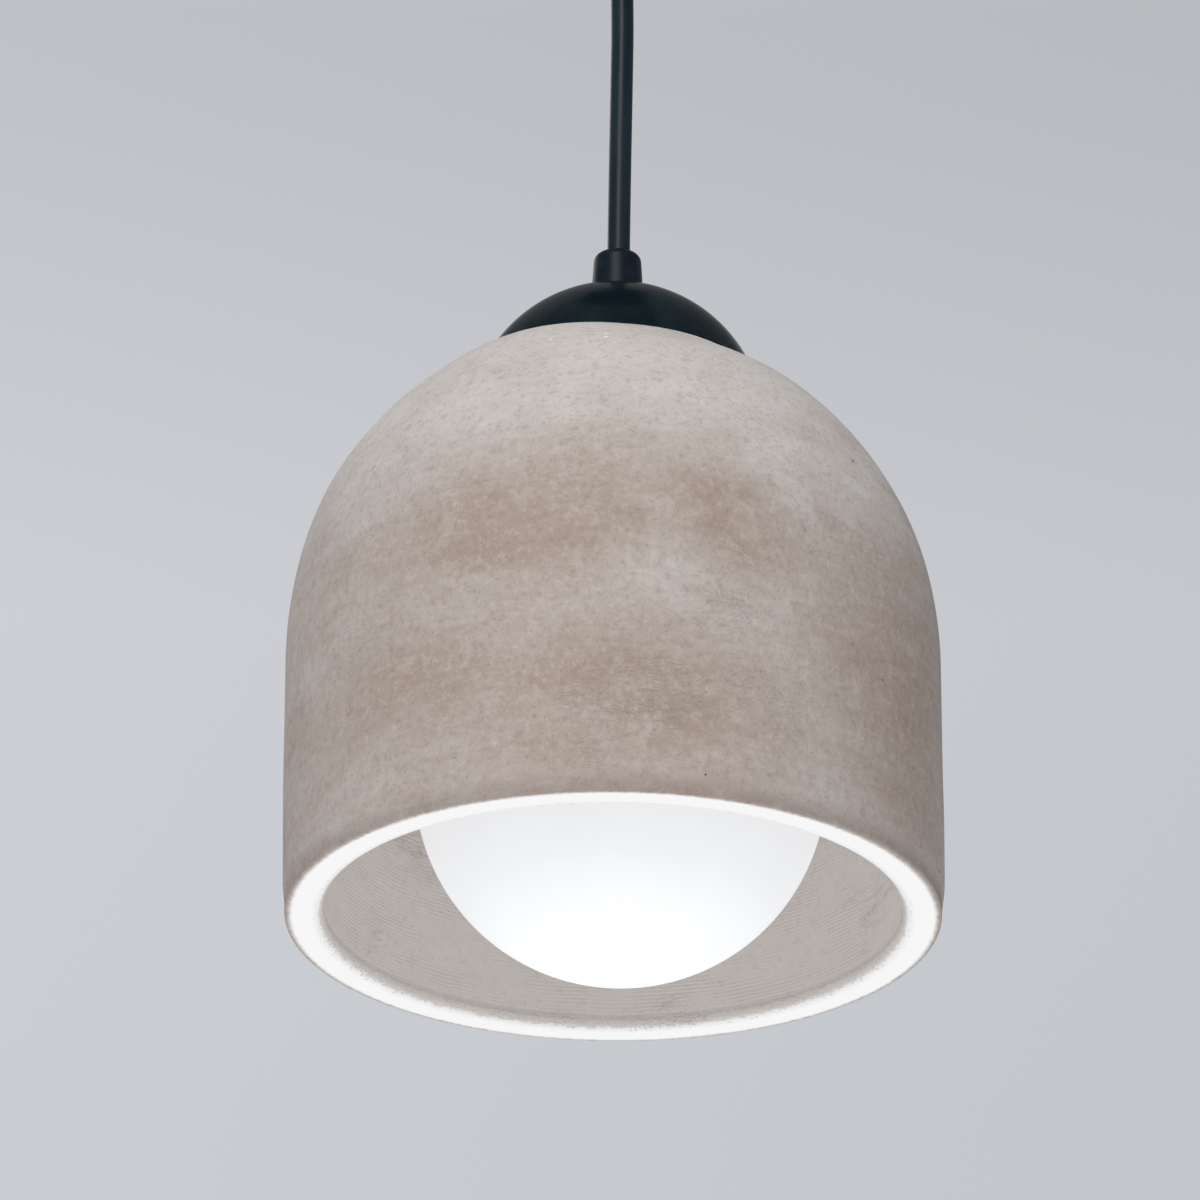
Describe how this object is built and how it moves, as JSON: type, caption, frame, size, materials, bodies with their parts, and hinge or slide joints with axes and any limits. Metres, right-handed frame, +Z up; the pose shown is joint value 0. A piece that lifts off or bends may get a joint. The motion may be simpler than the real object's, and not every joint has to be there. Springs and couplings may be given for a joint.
{
  "type": "pendant ceiling light",
  "caption": "Pendant ceiling light: cast concrete dome shade on a black cord, spun steel cap, opal globe bulb and a ceiling rose.",
  "frame": {"origin": "middle of the ceiling rose's mounting face, on the ceiling", "axes": "+Z up into the ceiling; the lamp hangs down along -Z; +X through one of the rose's side screws; +Y towards the grips' clamp screws"},
  "size_m": [0.2, 0.2, 0.3915],
  "materials": {
    "concrete": "cast, matte, white-painted rim",
    "cap_black": "satin powder coat",
    "grip_black": "satin moulded",
    "cord_black": "satin sheath",
    "nylon": "moulded nylon",
    "steel": "zinc plated",
    "pad_rubber": "soft rubber",
    "holder_black": "moulded thermoplastic",
    "ceramic_block": "unglazed",
    "brass": "plain brass",
    "nickel": "nickel plated",
    "opal": "opal white, lit",
    "neck_white": "moulded",
    "insulator": "vitreous black",
    "aluminium": "turned",
    "board_white": "white solder mask",
    "chip_yellow": "phosphor",
    "board_green": "green solder mask",
    "capacitor": "sleeved can",
    "core_brown": "insulation",
    "core_blue": "insulation",
    "core_earth": "green and yellow insulation"
  },
  "bodies": {
    "rose": {"rose_cup": "cap_black", "rose_strap": "steel", "rose_cup_screws": "steel", "rose_outlet": "grip_black", "rose_outlet_screw": "nylon", "rose_outlet_nut": "steel", "rose_terminal_block": "neck_white", "rose_clamps": "brass", "rose_clamp_screws": "steel", "rose_block_screw": "steel", "rose_earth_lug": "brass", "rose_earth_screw": "steel", "rose_live_core": "core_brown", "rose_neutral_core": "core_blue", "rose_earth_core": "core_earth", "cord_head": "cord_black"},
    "cord": {"cord": "cord_black"},
    "lamp": {"shade": "concrete", "cap_dome": "cap_black", "cord_grip": "grip_black", "cord_grip_screw": "nylon", "threaded_tube": "steel", "crown_washer": "steel", "crown_nut": "steel", "shade_pad": "pad_rubber", "support_washer": "steel", "support_nut": "steel", "holder_nut": "steel", "earth_tag": "brass", "holder_cap": "holder_black", "holder_skirt": "holder_black", "contact_block": "ceramic_block", "screw_shell": "nickel", "centre_contact": "brass", "holder_terminals": "brass", "holder_terminal_screws": "steel", "live_core": "core_brown", "neutral_core": "core_blue", "earth_core": "core_earth", "cord_foot": "cord_black"},
    "bulb": {"bulb_globe": "opal", "bulb_housing": "neck_white", "bulb_screw_cap": "nickel", "bulb_insulator": "insulator", "bulb_tip": "nickel", "heat_spreader": "aluminium", "led_board": "board_white", "led_chips": "chip_yellow", "driver_board": "board_green", "driver_capacitor": "capacitor"}
  },
  "joints": [
    {"name": "cord_swing", "type": "hinge", "parent": "rose", "child": "cord", "pos_m": [0, 0, -0.035], "axis": [0, 1, 0], "range_deg": [-20, 20]},
    {"name": "lamp_nod", "type": "hinge", "parent": "cord", "child": "lamp", "pos_m": [0, 0, -0.15276], "axis": [1, 0, 0], "range_deg": [-12, 12]},
    {"name": "bulb_withdraw", "type": "slide", "parent": "lamp", "child": "bulb", "axis": [0, 0, -1], "range_m": [0, 0.17]}
  ]
}
